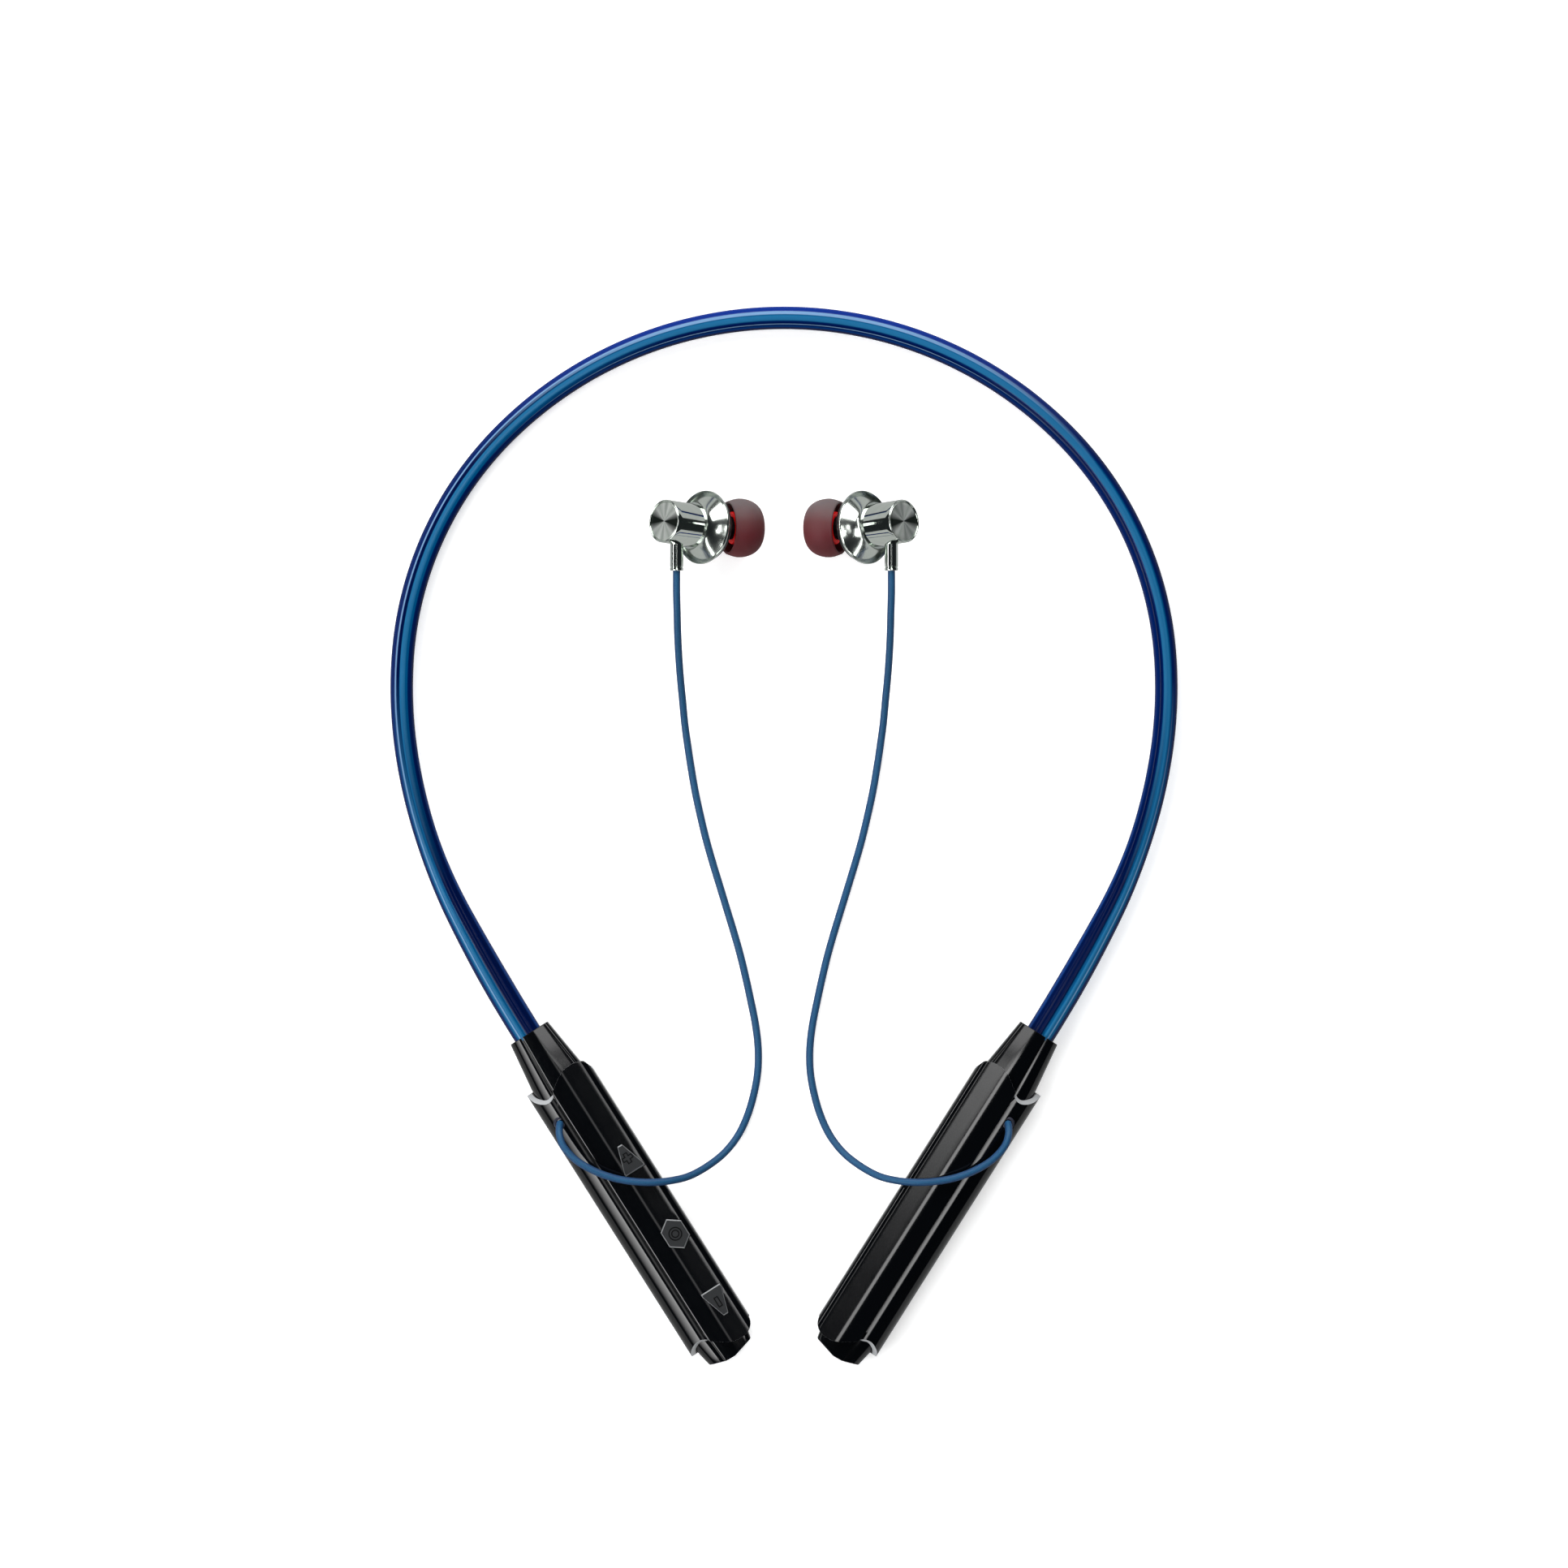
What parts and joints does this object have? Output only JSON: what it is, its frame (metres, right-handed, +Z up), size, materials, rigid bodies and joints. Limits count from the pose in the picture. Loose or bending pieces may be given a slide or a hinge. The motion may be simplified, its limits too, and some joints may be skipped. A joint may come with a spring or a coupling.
{
  "type": "neckband earphones",
  "caption": "Neckband earphones lying flat: an elastic band, two slim pods with push buttons, and in-ear buds on thin cables.",
  "frame": {"origin": "middle of the bounding box in plan, on the surface that the earphones lie on", "axes": "+X across the band towards the pod without buttons, +Y from the pods to the crown of the band, +Z up"},
  "size_m": [0.1552, 0.2091, 0.019],
  "materials": {
    "band_blue": "glossy ribbed elastomer",
    "pod_black": "gloss",
    "case_black": "satin",
    "grommet_rubber": "satin",
    "cable_blue": "satin elastomer jacket",
    "button_grey": "matt with polished chamfers",
    "polished_metal": "mirror",
    "spun_metal": "turned, fine circular grooves",
    "spring_steel": "drawn wire",
    "magnet_grey": "plated",
    "mesh_steel": "satin",
    "copper": "satin",
    "nozzle_black": "gloss",
    "film": "thin film",
    "tip_red": "satin silicone",
    "tip_smoke": "translucent smoky silicone",
    "board_green": "solder mask",
    "chip_black": "matt",
    "lens": "clear lens",
    "cell_foil": "satin foil"
  },
  "bodies": {
    "crown": {"crown_sleeve": "band_blue", "crown_spring_wire": "spring_steel", "crown_conductors": "copper"},
    "left_arm": {"left_band_sleeve": "band_blue", "left_spring_wire": "spring_steel", "left_conductors": "copper", "left_collar": "pod_black", "left_shell": "pod_black", "left_tray": "case_black", "left_end_cap": "pod_black", "left_cable_grommet": "grommet_rubber", "left_cable": "cable_blue", "main_board": "board_green", "radio_chip": "chip_black", "dome_switches": "mesh_steel", "charging_socket": "mesh_steel", "microphone": "copper", "status_light": "lens"},
    "right_arm": {"right_band_sleeve": "band_blue", "right_spring_wire": "spring_steel", "right_conductors": "copper", "right_collar": "pod_black", "right_shell": "pod_black", "right_tray": "case_black", "right_end_cap": "pod_black", "right_cable_grommet": "grommet_rubber", "right_cable": "cable_blue", "battery": "cell_foil", "battery_board": "board_green"},
    "plus_key": {"plus_button": "button_grey"},
    "power_key": {"power_button": "button_grey"},
    "minus_key": {"minus_button": "button_grey"},
    "left_earbud": {"left_barrel": "polished_metal", "left_end_disc": "spun_metal", "left_dock_magnet": "magnet_grey", "left_stem": "polished_metal", "left_rear_housing": "polished_metal", "left_front_housing": "nozzle_black", "left_driver_frame": "case_black", "left_driver_magnet": "magnet_grey", "left_voice_coil": "copper", "left_diaphragm": "film", "left_nozzle_mesh": "mesh_steel"},
    "right_earbud": {"right_barrel": "polished_metal", "right_end_disc": "spun_metal", "right_dock_magnet": "magnet_grey", "right_stem": "polished_metal", "right_rear_housing": "polished_metal", "right_front_housing": "nozzle_black", "right_driver_frame": "case_black", "right_driver_magnet": "magnet_grey", "right_voice_coil": "copper", "right_diaphragm": "film", "right_nozzle_mesh": "mesh_steel"},
    "left_ear_tip": {"left_tip_core": "tip_red", "left_tip_skirt": "tip_smoke"},
    "right_ear_tip": {"right_tip_core": "tip_red", "right_tip_skirt": "tip_smoke"}
  },
  "joints": [
    {"name": "left_arm_flex", "type": "hinge", "parent": "crown", "child": "left_arm", "pos_m": [-0.0241, 0.09848, 0.0023], "axis": [0, 0, -1], "range_deg": [-1, 15], "stiffness_Nm_per_rad": 1.2},
    {"name": "right_arm_flex", "type": "hinge", "parent": "crown", "child": "right_arm", "pos_m": [0.0241, 0.09848, 0.0023], "axis": [0, 0, 1], "range_deg": [-1, 15], "stiffness_Nm_per_rad": 1.2},
    {"name": "plus_press", "type": "slide", "parent": "left_arm", "child": "plus_key", "axis": [0, 0, -1], "range_m": [0, 0.0003], "stiffness_N_per_m": 3000},
    {"name": "power_press", "type": "slide", "parent": "left_arm", "child": "power_key", "axis": [0, 0, -1], "range_m": [0, 0.0003], "stiffness_N_per_m": 3000},
    {"name": "minus_press", "type": "slide", "parent": "left_arm", "child": "minus_key", "axis": [0, 0, -1], "range_m": [0, 0.0003], "stiffness_N_per_m": 3000},
    {"name": "left_earbud_twist", "type": "hinge", "parent": "left_arm", "child": "left_earbud", "pos_m": [-0.02109, 0.06155, 0.01323], "axis": [0, -1, 0], "range_deg": [0, 25]},
    {"name": "left_tip_pull", "type": "slide", "parent": "left_earbud", "child": "left_ear_tip", "axis": [0.9397, 0, -0.342], "range_m": [0, 0.0032]},
    {"name": "right_earbud_twist", "type": "hinge", "parent": "right_arm", "child": "right_earbud", "pos_m": [0.02109, 0.06155, 0.01323], "axis": [0, 1, 0], "range_deg": [0, 25]},
    {"name": "right_tip_pull", "type": "slide", "parent": "right_earbud", "child": "right_ear_tip", "axis": [-0.9397, 0, -0.342], "range_m": [0, 0.0032]}
  ]
}
